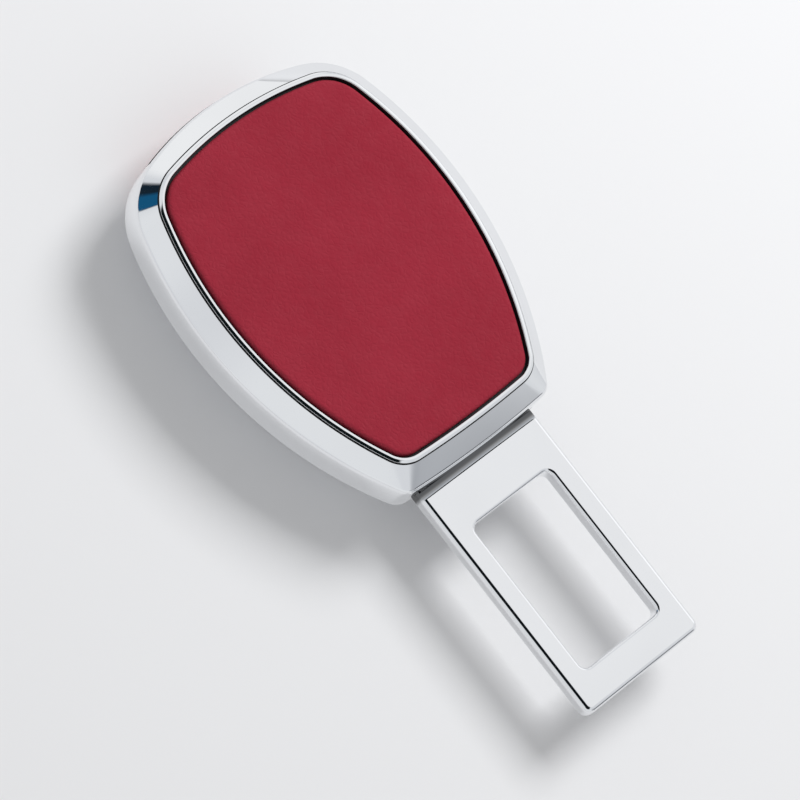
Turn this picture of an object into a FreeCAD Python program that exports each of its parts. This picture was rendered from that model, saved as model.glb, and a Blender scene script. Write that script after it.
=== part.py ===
"""Seat belt extender: a leather-faced buckle head with a socket at one end and a tongue at the other.

Millimetres. The origin is the middle of the back panel's flat face, on which the head rests.
+X runs along the extender towards the tip of its tongue, +Y across it, and +Z out of its front face.
"""
import FreeCAD, Part
import math
import os

V = FreeCAD.Vector

# Head outline at the shoulder, the widest line of the front shell
HEAD_LENGTH = 66.8
HEAD_WIDTH = 52.9
WIDEST_X = -4.0
SIDE_RADIUS = 65.5
FAR_END_RADIUS = 50.0
NEAR_END_RADIUS = 205.0
FAR_CORNER_RADIUS = 12.0
NEAR_CORNER_RADIUS = 3.0

# Leather panel outline
PANEL_LENGTH = 56.9
PANEL_WIDTH = 43.8
PANEL_SIDE_RADIUS = 62.5
PANEL_FAR_RADIUS = 63.0
PANEL_NEAR_RADIUS = 187.0
PANEL_FAR_CORNER = 6.9
PANEL_NEAR_CORNER = 3.9
BACK_PANEL_INSET = 0.6

# Levels of the head
HEAD_THICKNESS = 16.7
SHOULDER_Z = 13.5
PARTING_Z = 8.2
BEZEL_DROP = 0.75
PARTING_STEP = 0.35
PARTING_LIP = 0.7
BACK_RIM_Z = 0.7

# Shell walls
SHELL_WALL = 1.5
DECK_THICKNESS = 1.0
SHOULDER_BEVEL = 0.4

# Bead round the leather
BEAD_WIDTH = 1.05
BEAD_CHAMFER = 0.3
BEAD_BELOW_LEATHER = 0.25
PANEL_GAP = 0.2

# Leather panels
LEATHER_THICKNESS = 0.8
LEATHER_WRAP = 0.7
LEATHER_ROLL = 0.4
CORE_THICKNESS = 0.6

# Tongue
TONGUE_WIDTH = 24.5
TONGUE_THICKNESS = 3.0
TONGUE_Z = 9.0
TONGUE_TIP_X = 75.4
TONGUE_ROOT_X = 9.0
TONGUE_CORNER = 1.5
TONGUE_EDGE_BEVEL = 0.4
WINDOW_LENGTH = 27.6
WINDOW_WIDTH = 16.4
WINDOW_TIP_BAR = 5.8
WINDOW_CORNER = 1.3
WINDOW_EDGE_BEVEL = 0.25
ROOT_GROOVE_WIDTH = 1.6
ROOT_GROOVE_DEPTH = 0.3
TONGUE_SLOT_CLEARANCE = 0.35
TONGUE_SLOT_DEPTH = 4.5

# Tongue of another belt, which the socket takes
MATE_WIDTH = 24.5
MATE_DEPTH = 25.0
MATE_TIP_BAR = 5.8
MOUTH_HEIGHT = 4.2
MOUTH_SIDE_CLEARANCE = 0.6
MOUTH_OFFSET_Z = 0.2

# Mouth guide
GUIDE_WALL = 0.5
GUIDE_SIDE_WALL = 1.4
GUIDE_INNER_X = -21.0
GUIDE_FLANGE = 0.9
GUIDE_FLANGE_THICKNESS = 1.2
GUIDE_FIT = 0.1

# Steel frame
FRAME_THICKNESS = 1.5
FRAME_START_X = -20.5
FRAME_END_X = 27.0
FRAME_WALL_END_X = 8.0
FRAME_SIDE_CLEARANCE = 0.65
FRAME_BEND = 1.2

# Latch and its pin
PIN_X = 4.5
PIN_Z = 6.4
PIN_RADIUS = 1.5
PIN_FIT = 0.04
PIN_HEAD_RADIUS = 2.2
PIN_HEAD_THICKNESS = 0.8
LATCH_THICKNESS = 1.4
NOSE_SHOULDER = 2.0
NOSE_LENGTH = 4.0
NOSE_FLAT = 1.5
NOSE_TOP_Z = 10.0
NOSE_SEAT_GAP = 0.3
LATCH_HUB_RADIUS = 2.2
LATCH_ANGLE = 8.0
TAB_X = -6.5
TAB_LENGTH = 2.2
TAB_TOP_Z = 5.2
TAB_THICKNESS = 1.0
TAB_TO_WALL = 0.9
TAB_WEB = 0.8

# Ejector
EJECTOR_TRAVEL = 10.0
EJECTOR_LEG = 5.9
EJECTOR_BLOCK = 4.5
EJECTOR_HEIGHT = 2.6
EJECTOR_SIDE_GAP = 0.6
NOSE_SLOT_GAP = 0.6
KEEL_HALF_WIDTH = 2.3
KEEL_TOP_Z = 12.9
KEEL_FIT = 0.3
LUG_REACH = 1.6
LUG_HEIGHT = 1.4
LUG_FIT = 0.3
PEG_RADIUS = 1.2
PEG_LENGTH = 3.0

# Release button
BUTTON_TRAVEL = 4.0
BUTTON_TO_WALL = 0.3
BUTTON_BACK_X = -24.0
BUTTON_TOP_Z = 6.3
BUTTON_FIT = 0.3
ARM_WIDTH = 4.0
ARM_TO_WALL = 0.5
ARM_TO_LATCH = 0.4
ARM_END_X = -4.5
RAMP_GAP = 0.3
RAMP_RUN_OUT = 0.75
SPRING_POCKET_WALL = 0.7
SPRING_POCKET_ROOF = 0.4
SPRING_POCKET_START_X = -21.0
POST_X = -12.9
POST_LENGTH = 0.8

# Springs: outside radius, wire radius, turns
EJECTOR_SPRING = (1.9, 0.2, 8)
EJECTOR_SPRING_Z = 11.0
EJECTOR_SPRING_END_X = 7.3
BUTTON_SPRING = (1.05, 0.15, 6)
BUTTON_SPRING_Z = 4.75
LATCH_SPRING = (2.5, 0.2, 3.5)
LATCH_SPRING_X = -3.5
LATCH_SPRING_STUD = 1.6
LATCH_SPRING_STUD_HEIGHT = 0.8
SPRING_SEAT_GAP = 0.05
COIL_STEPS = 8
WIRE_SIDES = 4

# Rivets and screws
RIVET_RADIUS = 2.0
RIVET_HEAD_RADIUS = 3.0
RIVET_HEAD_HEIGHT = 0.9
RIVET_HEAD_BEVEL = 0.5
RIVET_X = 14.0
RIVET_TO_EDGE = 4.75
FAR_SCREW_X = -6.0
FAR_SCREW_TO_SIDE = 7.85
NEAR_SCREW_X = 22.0
NEAR_SCREW_TO_EDGE = 4.25
SCREW_RADIUS = 1.25
SCREW_FIT = 0.05
SCREW_HEAD_RADIUS = 2.2
SCREW_HEAD_HEIGHT = 1.5
SCREW_RECESS_WIDTH = 0.6
SCREW_RECESS_DEPTH = 0.8
SCREW_END_Z = 12.0
BOSS_RADIUS = 2.6
CLAMP_RADIUS = 3.4
PILLAR_RADIUS = 2.4
PILLAR_HOLE_FIT = 0.3

# Places worked out from the sizes above
LIP_Z = PARTING_Z - PARTING_LIP
FRONT_POCKET_Z = HEAD_THICKNESS - LEATHER_THICKNESS - CORE_THICKNESS
FRONT_DECK_Z = FRONT_POCKET_Z - DECK_THICKNESS
BACK_POCKET_Z = LEATHER_THICKNESS + CORE_THICKNESS
BACK_DECK_Z = BACK_POCKET_Z + DECK_THICKNESS
TONGUE_TOP_Z = TONGUE_Z + TONGUE_THICKNESS / 2
TONGUE_BOTTOM_Z = TONGUE_Z - TONGUE_THICKNESS / 2
FRAME_TOP_Z = TONGUE_TOP_Z + FRAME_THICKNESS
FRAME_INNER = MATE_WIDTH / 2 + FRAME_SIDE_CLEARANCE
FRAME_OUTER = FRAME_INNER + FRAME_THICKNESS
ARM_OUTER = FRAME_INNER - ARM_TO_WALL
ARM_INNER = ARM_OUTER - ARM_WIDTH
BUTTON_HALF_WIDTH = FRAME_INNER - BUTTON_TO_WALL
LATCH_HALF_WIDTH = ARM_INNER - ARM_TO_LATCH
NOSE_HALF_WIDTH = LATCH_HALF_WIDTH - NOSE_SHOULDER
TAB_REACH = FRAME_INNER - TAB_TO_WALL
MOUTH_Z = TONGUE_Z + MOUTH_OFFSET_Z
MATE_TIP_X = -HEAD_LENGTH / 2 + MATE_DEPTH
NOSE_FACE_X = MATE_TIP_X - MATE_TIP_BAR - NOSE_SEAT_GAP
LATCH_TOP_Z = PIN_Z + LATCH_THICKNESS / 2
RIVET_Y = TONGUE_WIDTH / 2 - RIVET_TO_EDGE
FAR_SCREW_Y = HEAD_WIDTH / 2 - FAR_SCREW_TO_SIDE
NEAR_SCREW_Y = TONGUE_WIDTH / 2 - NEAR_SCREW_TO_EDGE
FAR_SIDE = 3 * HEAD_WIDTH
TALL = 3 * HEAD_THICKNESS
ROUNDING = 1e-4


# Outlines

def corner_centre(c1, r1, c2, r2):
    """Upper one of the two points that lie r1 from centre 1 and r2 from centre 2."""
    d = math.hypot(c2[0] - c1[0], c2[1] - c1[1])
    ux, uy = (c2[0] - c1[0]) / d, (c2[1] - c1[1]) / d
    along = (d * d + r1 * r1 - r2 * r2) / (2 * d)
    side = math.copysign(math.sqrt(r1 * r1 - along * along), ux)
    return (c1[0] + ux * along - uy * side, c1[1] + uy * along + ux * side)


def touching(centre, corner, radius):
    """Point where the corner's circle touches the big arc of that centre."""
    d = math.hypot(corner[0] - centre[0], corner[1] - centre[1])
    ux, uy = (corner[0] - centre[0]) / d, (corner[1] - centre[1]) / d
    return (centre[0] + ux * radius, centre[1] + uy * radius)


def arc(centre, radius, start, end, z):
    """Arc about a centre from start to end, the short way round."""
    a0 = math.atan2(start[1] - centre[1], start[0] - centre[0])
    a1 = math.atan2(end[1] - centre[1], end[0] - centre[0])
    turn = (a1 - a0 + math.pi) % (2 * math.pi) - math.pi
    mid = a0 + turn / 2
    middle = V(centre[0] + radius * math.cos(mid), centre[1] + radius * math.sin(mid), z)
    return Part.Arc(V(start[0], start[1], z), middle, V(end[0], end[1], z)).toShape()


def barrel(length, width, side_r, far_r, near_r, far_corner, near_corner, offset, z):
    """Closed wire of eight tangent arcs: a barrel that is widest near its far end, grown by offset."""
    far_x = -length / 2 - offset
    near_x = length / 2 + offset
    far_r, near_r, side_r = far_r + offset, near_r + offset, side_r + offset
    far_corner, near_corner = far_corner + offset, near_corner + offset
    far_c = (far_x + far_r, 0)
    near_c = (near_x - near_r, 0)
    side_c = (WIDEST_X, width / 2 + offset - side_r)
    far_k = corner_centre(far_c, far_r - far_corner, side_c, side_r - far_corner)
    near_k = corner_centre(near_c, near_r - near_corner, side_c, side_r - near_corner)
    p1 = touching(far_c, far_k, far_r)
    p2 = touching(side_c, far_k, side_r)
    p3 = touching(side_c, near_k, side_r)
    p4 = touching(near_c, near_k, near_r)

    def flip(p):
        return (p[0], -p[1])

    edges = [
        arc(far_c, far_r, flip(p1), p1, z),
        arc(far_k, far_corner, p1, p2, z),
        arc(side_c, side_r, p2, p3, z),
        arc(near_k, near_corner, p3, p4, z),
        arc(near_c, near_r, p4, flip(p4), z),
        arc(flip(near_k), near_corner, flip(p4), flip(p3), z),
        arc(flip(side_c), side_r, flip(p3), flip(p2), z),
        arc(flip(far_k), far_corner, flip(p2), flip(p1), z),
    ]
    return Part.Wire(edges)


def head_wire(offset, z):
    return barrel(HEAD_LENGTH, HEAD_WIDTH, SIDE_RADIUS, FAR_END_RADIUS, NEAR_END_RADIUS,
                  FAR_CORNER_RADIUS, NEAR_CORNER_RADIUS, offset, z)


def panel_wire(offset, z):
    return barrel(PANEL_LENGTH, PANEL_WIDTH, PANEL_SIDE_RADIUS, PANEL_FAR_RADIUS, PANEL_NEAR_RADIUS,
                  PANEL_FAR_CORNER, PANEL_NEAR_CORNER, offset, z)


# Solids from simple sections

def prism(wire_of, offset, z0, z1):
    """Upright solid between two levels with a given outline."""
    return Part.Face(wire_of(offset, z0)).extrude(V(0, 0, z1 - z0))


def box(x0, x1, y0, y1, z0, z1):
    return Part.makeBox(x1 - x0, y1 - y0, z1 - z0, V(x0, y0, z0))


def centred_box(x0, x1, half_y, z0, z1):
    return box(x0, x1, -half_y, half_y, z0, z1)


def post(x, y, radius, z0, z1):
    return Part.makeCylinder(radius, z1 - z0, V(x, y, z0))


def side_profile(points, y0, y1):
    """Solid of an X-Z outline between two Y planes."""
    corners = [V(x, y0, z) for x, z in points]
    return Part.Face(Part.makePolygon(corners + corners[:1])).extrude(V(0, y1 - y0, 0))


def both_sides(shape):
    """A shape and its mirror image across the plane of symmetry."""
    return [shape, shape.mirror(V(0, 0, 0), V(0, 1, 0))]


def edges_at(shape, z):
    """Edges that lie level at that height."""
    return [e for e in shape.Edges if max(abs(e.BoundBox.ZMin - z), abs(e.BoundBox.ZMax - z)) < ROUNDING]


def upright_edges(shape):
    return [e for e in shape.Edges if max(e.BoundBox.XLength, e.BoundBox.YLength) < ROUNDING]


def lengthwise_edges(shape):
    return [e for e in shape.Edges if max(e.BoundBox.YLength, e.BoundBox.ZLength) < ROUNDING]


def coil(outside_radius, wire_radius, turns, length, start, along):
    """Coil spring of faceted wire with its axis from start in the direction along."""
    radius = outside_radius - wire_radius
    rise = (length - 2 * wire_radius) / (turns * COIL_STEPS)
    sections = []
    for step in range(round(turns * COIL_STEPS) + 1):
        heading = 2 * math.pi * step / COIL_STEPS
        outward = V(math.cos(heading), math.sin(heading), 0)
        centre = outward * radius + V(0, 0, wire_radius + step * rise)
        corners = []
        for side in range(WIRE_SIDES):
            turn = 2 * math.pi * side / WIRE_SIDES
            lift = V(0, 0, wire_radius * math.sin(turn))
            corners.append(centre + outward * wire_radius * math.cos(turn) + lift)
        sections.append(Part.makePolygon(corners + corners[:1]))
    spring = Part.makeLoft(sections, True, True)
    spring.Placement = FreeCAD.Placement(V(*start), FreeCAD.Rotation(V(0, 0, 1), along))
    return spring


# Head

def front_body():
    """Outer form of the front shell: wall, bevelled shoulder and sloped bezel."""
    wall = prism(head_wire, 0, PARTING_Z, SHOULDER_Z)
    rim = panel_wire(PANEL_GAP + BEAD_WIDTH, HEAD_THICKNESS - BEZEL_DROP)
    slope = Part.makeLoft([head_wire(0, SHOULDER_Z), rim], True, True)
    body = wall.fuse(slope).removeSplitter()
    return body.makeChamfer(SHOULDER_BEVEL, edges_at(body, SHOULDER_Z))


def back_body():
    """Outer form of the back shell: a short lip under the front shell and a long slope to the back rim."""
    rim = panel_wire(PANEL_GAP + BEAD_WIDTH - BACK_PANEL_INSET, BACK_RIM_Z)
    lip = prism(head_wire, -PARTING_STEP, LIP_Z, PARTING_Z)
    slope = Part.makeLoft([rim, head_wire(-PARTING_STEP, LIP_Z)], True, True)
    return lip.fuse(slope).removeSplitter()


def bead(offset, z_base, z_crown):
    """Lip with bevelled edges that stands round a leather panel."""
    z0, z1 = min(z_base, z_crown), max(z_base, z_crown)
    ring = prism(panel_wire, offset + PANEL_GAP + BEAD_WIDTH, z0, z1)
    ring = ring.cut(prism(panel_wire, offset + PANEL_GAP, z0, z1))
    return ring.makeChamfer(BEAD_CHAMFER, edges_at(ring, z_crown))


def screw_places():
    return [(FAR_SCREW_X, FAR_SCREW_Y), (FAR_SCREW_X, -FAR_SCREW_Y),
            (NEAR_SCREW_X, NEAR_SCREW_Y), (NEAR_SCREW_X, -NEAR_SCREW_Y)]


def is_near(x):
    """True for the two screws that also clamp the frame and the tongue."""
    return x == NEAR_SCREW_X


def boss_top(x):
    """Level where the back shell's boss meets the front shell's pillar."""
    return TONGUE_BOTTOM_Z if is_near(x) else PARTING_Z


def tongue_slot():
    """Slot in the near end wall through which the tongue leaves the head."""
    half = TONGUE_WIDTH / 2 + TONGUE_SLOT_CLEARANCE
    slot = centred_box(HEAD_LENGTH / 2 - TONGUE_SLOT_DEPTH, HEAD_LENGTH, half,
                       TONGUE_BOTTOM_Z - TONGUE_SLOT_CLEARANCE, TONGUE_TOP_Z + TONGUE_SLOT_CLEARANCE)
    return slot.makeFillet(TONGUE_EDGE_BEVEL + TONGUE_SLOT_CLEARANCE, lengthwise_edges(slot))


def guide_half_width():
    return MATE_WIDTH / 2 + MOUTH_SIDE_CLEARANCE + GUIDE_SIDE_WALL


def guide_bottom():
    return MOUTH_Z - MOUTH_HEIGHT / 2 - GUIDE_WALL


def guide_top():
    return MOUTH_Z + MOUTH_HEIGHT / 2 + GUIDE_WALL


def guide_hole():
    return centred_box(-HEAD_LENGTH, GUIDE_INNER_X, guide_half_width() + GUIDE_FIT,
                       guide_bottom() - GUIDE_FIT, guide_top() + GUIDE_FIT)


def front_shell():
    body = front_body()
    body = body.fuse(bead(0, FRONT_DECK_Z, HEAD_THICKNESS - BEAD_BELOW_LEATHER))
    body = body.cut(prism(panel_wire, PANEL_GAP, FRONT_POCKET_Z, TALL))
    body = body.cut(prism(head_wire, -SHELL_WALL, 0, FRONT_DECK_Z - DECK_THICKNESS))
    body = body.cut(prism(panel_wire, -SHELL_WALL, 0, FRONT_DECK_Z))
    for x, y in screw_places():
        body = body.fuse(post(x, y, PILLAR_RADIUS, boss_top(x), FRONT_POCKET_Z))
        if is_near(x):
            body = body.fuse(post(x, y, CLAMP_RADIUS, FRAME_TOP_Z, FRONT_POCKET_Z))
        body = body.cut(post(x, y, SCREW_RADIUS + SCREW_FIT, 0, SCREW_END_Z + SCREW_FIT))
    rib = box(FRAME_START_X + FRAME_THICKNESS, FRAME_WALL_END_X, ARM_INNER, ARM_INNER + SHELL_WALL,
              FRAME_TOP_Z, FRONT_POCKET_Z)
    body = body.fuse(both_sides(rib))
    body = body.cut(tongue_slot()).cut(guide_hole())
    return body.removeSplitter()


def back_shell():
    body = back_body()
    body = body.fuse(bead(-BACK_PANEL_INSET, BACK_DECK_Z, BEAD_BELOW_LEATHER))
    body = body.cut(prism(panel_wire, PANEL_GAP - BACK_PANEL_INSET, -TALL, BACK_POCKET_Z))
    cavity = Part.makeLoft([panel_wire(BEAD_WIDTH - BACK_PANEL_INSET - SHELL_WALL, BACK_DECK_Z),
                            head_wire(-PARTING_STEP - SHELL_WALL, LIP_Z)], True, True)
    cavity = cavity.fuse(prism(head_wire, -PARTING_STEP - SHELL_WALL, LIP_Z, TALL))
    body = body.cut(cavity)
    for x, y in screw_places():
        boss_radius = CLAMP_RADIUS if is_near(x) else BOSS_RADIUS
        body = body.fuse(post(x, y, boss_radius, BACK_POCKET_Z, boss_top(x)))
        body = body.cut(post(x, y, SCREW_RADIUS + SCREW_FIT, 0, TALL))
        body = body.cut(post(x, y, SCREW_HEAD_RADIUS + SCREW_FIT, 0, BACK_POCKET_Z + SCREW_HEAD_HEIGHT))
    arm_middle = (ARM_INNER + ARM_OUTER) / 2
    half_post = (ARM_OUTER - ARM_INNER) / 2 - SPRING_POCKET_WALL - BUTTON_FIT
    stop = box(POST_X, POST_X + POST_LENGTH, arm_middle - half_post, arm_middle + half_post,
               BACK_POCKET_Z, BUTTON_TOP_Z - SPRING_POCKET_ROOF - BUTTON_FIT)
    body = body.fuse(both_sides(stop))
    body = body.fuse(post(LATCH_SPRING_X, 0, LATCH_SPRING_STUD, BACK_POCKET_Z,
                          BACK_DECK_Z + LATCH_SPRING_STUD_HEIGHT))
    body = body.cut(tongue_slot()).cut(guide_hole())
    body = body.cut(centred_box(-HEAD_LENGTH, BUTTON_BACK_X, BUTTON_HALF_WIDTH + BUTTON_FIT,
                                BACK_DECK_Z, guide_bottom()))
    return body.removeSplitter()


def leather(offset, z_face, z_deck):
    """Skin with a bevelled edge, wrapped over the edge of its core plate."""
    z0, z1 = min(z_face, z_deck), max(z_face, z_deck)
    skin = prism(panel_wire, offset, z0, z1)
    skin = skin.makeChamfer(LEATHER_ROLL, edges_at(skin, z_face))
    core_face = z_deck + math.copysign(CORE_THICKNESS, z_face - z_deck)
    core = prism(panel_wire, offset - LEATHER_WRAP, min(core_face, z_deck), max(core_face, z_deck))
    return skin.cut(core)


def mouth_guide():
    """Collar that lines the socket's mouth, flush with the shells, with a flange behind their wall."""
    outer = centred_box(-HEAD_LENGTH, GUIDE_INNER_X, guide_half_width(), guide_bottom(), guide_top())
    flange = centred_box(-HEAD_LENGTH, 0, guide_half_width() + GUIDE_FLANGE,
                         LIP_Z + GUIDE_FIT, guide_top() + GUIDE_FLANGE)
    ring_out = -SHELL_WALL - PARTING_STEP - GUIDE_FIT
    ring = prism(head_wire, ring_out, 0, TALL)
    ring = ring.cut(prism(head_wire, ring_out - GUIDE_FLANGE_THICKNESS, 0, TALL))
    head = front_body().fuse([back_body(), prism(head_wire, -SHELL_WALL, 0, TALL)])
    body = outer.common(head).fuse(flange.common(ring))
    mouth = centred_box(-HEAD_LENGTH, 0, MATE_WIDTH / 2 + MOUTH_SIDE_CLEARANCE,
                        MOUTH_Z - MOUTH_HEIGHT / 2, MOUTH_Z + MOUTH_HEIGHT / 2)
    return body.cut(mouth).removeSplitter()


# Tongue and frame

def fixing_holes():
    """Holes for the two pillars and the two rivets, through both the tongue and the frame."""
    pillar = post(NEAR_SCREW_X, NEAR_SCREW_Y, PILLAR_RADIUS + PILLAR_HOLE_FIT, 0, TALL)
    return both_sides(pillar) + both_sides(post(RIVET_X, RIVET_Y, RIVET_RADIUS, 0, TALL))


def tongue_plate():
    half = TONGUE_WIDTH / 2
    plate = centred_box(TONGUE_ROOT_X, TONGUE_TIP_X, half, TONGUE_BOTTOM_Z, TONGUE_TOP_Z)
    plate = plate.makeFillet(TONGUE_CORNER, upright_edges(plate))
    window_end = TONGUE_TIP_X - WINDOW_TIP_BAR
    window = centred_box(window_end - WINDOW_LENGTH, window_end, WINDOW_WIDTH / 2, 0, HEAD_THICKNESS)
    window = window.makeFillet(WINDOW_CORNER, upright_edges(window))
    rim = edges_at(plate, TONGUE_TOP_Z) + edges_at(plate, TONGUE_BOTTOM_Z)
    plate = plate.makeChamfer(TONGUE_EDGE_BEVEL, rim).cut(window)
    around = window.BoundBox
    around.enlarge(ROUNDING)
    inside = [e for e in edges_at(plate, TONGUE_TOP_Z) + edges_at(plate, TONGUE_BOTTOM_Z)
              if around.isInside(e.BoundBox)]
    plate = plate.makeChamfer(WINDOW_EDGE_BEVEL, inside)
    groove_r = ((ROOT_GROOVE_WIDTH / 2) ** 2 + ROOT_GROOVE_DEPTH ** 2) / (2 * ROOT_GROOVE_DEPTH)
    for level, out in ((TONGUE_TOP_Z, 1), (TONGUE_BOTTOM_Z, -1)):
        axis_z = level + out * (groove_r - ROOT_GROOVE_DEPTH)
        start = V(HEAD_LENGTH / 2 + ROOT_GROOVE_WIDTH / 2, -FAR_SIDE / 2, axis_z)
        plate = plate.cut(Part.makeCylinder(groove_r, FAR_SIDE, start, V(0, 1, 0)))
    return plate.cut(fixing_holes())


def buckle_frame():
    """Pressed channel: a plate over the tongues with two walls that carry the latch pin."""
    plate = centred_box(FRAME_START_X, FRAME_END_X, FRAME_OUTER, TONGUE_TOP_Z, FRAME_TOP_Z)
    frame = plate.fuse(both_sides(box(FRAME_START_X, FRAME_WALL_END_X, FRAME_INNER, FRAME_OUTER,
                                      BACK_DECK_Z, FRAME_TOP_Z))).removeSplitter()
    bends = [e for e in lengthwise_edges(frame)
             if abs(e.BoundBox.ZMin - FRAME_TOP_Z) < ROUNDING and abs(e.BoundBox.YMin) > FRAME_INNER]
    frame = frame.makeFillet(FRAME_BEND, bends)
    frame = frame.cut(centred_box(keel_start() - KEEL_FIT, EJECTOR_SPRING_END_X, KEEL_HALF_WIDTH + KEEL_FIT,
                                  0, TALL))
    lug_end = keel_start() + EJECTOR_BLOCK + EJECTOR_TRAVEL + LUG_FIT
    frame = frame.cut(centred_box(FRAME_START_X, lug_end, FRAME_OUTER, TONGUE_Z - LUG_HEIGHT / 2 - LUG_FIT,
                                  TONGUE_Z + LUG_HEIGHT / 2 + LUG_FIT))
    frame = frame.cut(Part.makeCylinder(PIN_RADIUS, FAR_SIDE, V(PIN_X, -FAR_SIDE / 2, PIN_Z), V(0, 1, 0)))
    return frame.cut(fixing_holes())


def rivet(y):
    shank = post(RIVET_X, y, RIVET_RADIUS, TONGUE_BOTTOM_Z, FRAME_TOP_Z)
    low = post(RIVET_X, y, RIVET_HEAD_RADIUS, TONGUE_BOTTOM_Z - RIVET_HEAD_HEIGHT, TONGUE_BOTTOM_Z)
    high = post(RIVET_X, y, RIVET_HEAD_RADIUS, FRAME_TOP_Z, FRAME_TOP_Z + RIVET_HEAD_HEIGHT)
    low = low.makeChamfer(RIVET_HEAD_BEVEL, edges_at(low, TONGUE_BOTTOM_Z - RIVET_HEAD_HEIGHT))
    high = high.makeChamfer(RIVET_HEAD_BEVEL, edges_at(high, FRAME_TOP_Z + RIVET_HEAD_HEIGHT))
    return shank.fuse([low, high]).removeSplitter()


def housing_screw(x, y):
    head_z = BACK_POCKET_Z + SCREW_HEAD_HEIGHT
    head = post(x, y, SCREW_HEAD_RADIUS, BACK_POCKET_Z, head_z)
    for long, wide in ((SCREW_RADIUS, SCREW_RECESS_WIDTH / 2), (SCREW_RECESS_WIDTH / 2, SCREW_RADIUS)):
        head = head.cut(box(x - long, x + long, y - wide, y + wide,
                            BACK_POCKET_Z, BACK_POCKET_Z + SCREW_RECESS_DEPTH))
    return head.fuse(post(x, y, SCREW_RADIUS, head_z, SCREW_END_Z)).removeSplitter()


# Latch

def latch():
    """Plate that turns about its pin, with a nose, and tabs that the button's ramps push down."""
    low_z = PIN_Z - LATCH_THICKNESS / 2
    nose_x = NOSE_FACE_X - NOSE_LENGTH
    plate = centred_box(NOSE_FACE_X, PIN_X, LATCH_HALF_WIDTH, low_z, LATCH_TOP_Z)
    nose = side_profile([(NOSE_FACE_X, low_z),
                         (NOSE_FACE_X, NOSE_TOP_Z),
                         (NOSE_FACE_X - NOSE_FLAT, NOSE_TOP_Z),
                         (nose_x, LATCH_TOP_Z),
                         (nose_x, PIN_Z),
                         (nose_x + LATCH_THICKNESS / 2, low_z)], -NOSE_HALF_WIDTH, NOSE_HALF_WIDTH)
    hub = Part.makeCylinder(LATCH_HUB_RADIUS, 2 * LATCH_HALF_WIDTH,
                            V(PIN_X, -LATCH_HALF_WIDTH, PIN_Z), V(0, 1, 0))
    web_y = LATCH_HALF_WIDTH - TAB_WEB
    tab_low = TAB_TOP_Z - TAB_THICKNESS
    tab = box(TAB_X, TAB_X + TAB_LENGTH, web_y, TAB_REACH, tab_low, TAB_TOP_Z)
    web = box(TAB_X, TAB_X + TAB_LENGTH, web_y, LATCH_HALF_WIDTH, tab_low, LATCH_TOP_Z)
    body = plate.fuse([nose, hub] + both_sides(tab) + both_sides(web))
    bore = Part.makeCylinder(PIN_RADIUS + PIN_FIT, FAR_SIDE, V(PIN_X, -FAR_SIDE / 2, PIN_Z), V(0, 1, 0))
    return body.cut(bore).removeSplitter()


def latch_pin():
    pin = Part.makeCylinder(PIN_RADIUS, 2 * FRAME_OUTER, V(PIN_X, -FRAME_OUTER, PIN_Z), V(0, 1, 0))
    head = Part.makeCylinder(PIN_HEAD_RADIUS, PIN_HEAD_THICKNESS, V(PIN_X, FRAME_OUTER, PIN_Z), V(0, 1, 0))
    return pin.fuse(both_sides(head)).removeSplitter()


def latch_spring():
    start = BACK_DECK_Z + SPRING_SEAT_GAP
    length = PIN_Z - LATCH_THICKNESS / 2 - SPRING_SEAT_GAP - start
    return coil(*LATCH_SPRING, length, (LATCH_SPRING_X, 0, start), V(0, 0, 1))


# Ejector

def ejector_front():
    return MATE_TIP_X - EJECTOR_TRAVEL


def keel_start():
    return ejector_front() + EJECTOR_LEG


def ejector():
    """Slider whose two legs push the other belt's tongue out, either side of the latch's nose."""
    front, block = ejector_front(), keel_start()
    back = block + EJECTOR_BLOCK
    half = FRAME_INNER - EJECTOR_SIDE_GAP
    low, high = TONGUE_Z - EJECTOR_HEIGHT / 2, TONGUE_Z + EJECTOR_HEIGHT / 2
    body = centred_box(front, back, half, low, high)
    body = body.cut(centred_box(front, block, NOSE_HALF_WIDTH + NOSE_SLOT_GAP, low, high))
    keel = centred_box(block, back, KEEL_HALF_WIDTH, low, KEEL_TOP_Z)
    lugs = centred_box(block, back, half + LUG_REACH, TONGUE_Z - LUG_HEIGHT / 2, TONGUE_Z + LUG_HEIGHT / 2)
    peg = Part.makeCylinder(PEG_RADIUS, PEG_LENGTH, V(back, 0, EJECTOR_SPRING_Z), V(1, 0, 0))
    return body.fuse([keel, lugs, peg]).removeSplitter()


def ejector_spring():
    start = keel_start() + EJECTOR_BLOCK + SPRING_SEAT_GAP
    length = EJECTOR_SPRING_END_X - SPRING_SEAT_GAP - start
    return coil(*EJECTOR_SPRING, length, (start, 0, EJECTOR_SPRING_Z), V(1, 0, 0))


# Release button

def ramp_points():
    """Lower line of the ramp, which keeps a constant gap over the tab's edge through the whole stroke."""
    angle = math.radians(LATCH_ANGLE)
    dx, dz = TAB_X - PIN_X, TAB_TOP_Z - PIN_Z
    end_x = PIN_X + dx * math.cos(angle) - dz * math.sin(angle) - BUTTON_TRAVEL
    end_z = PIN_Z + dx * math.sin(angle) + dz * math.cos(angle)
    return (TAB_X, TAB_TOP_Z + RAMP_GAP), (end_x, end_z + RAMP_GAP)


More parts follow.
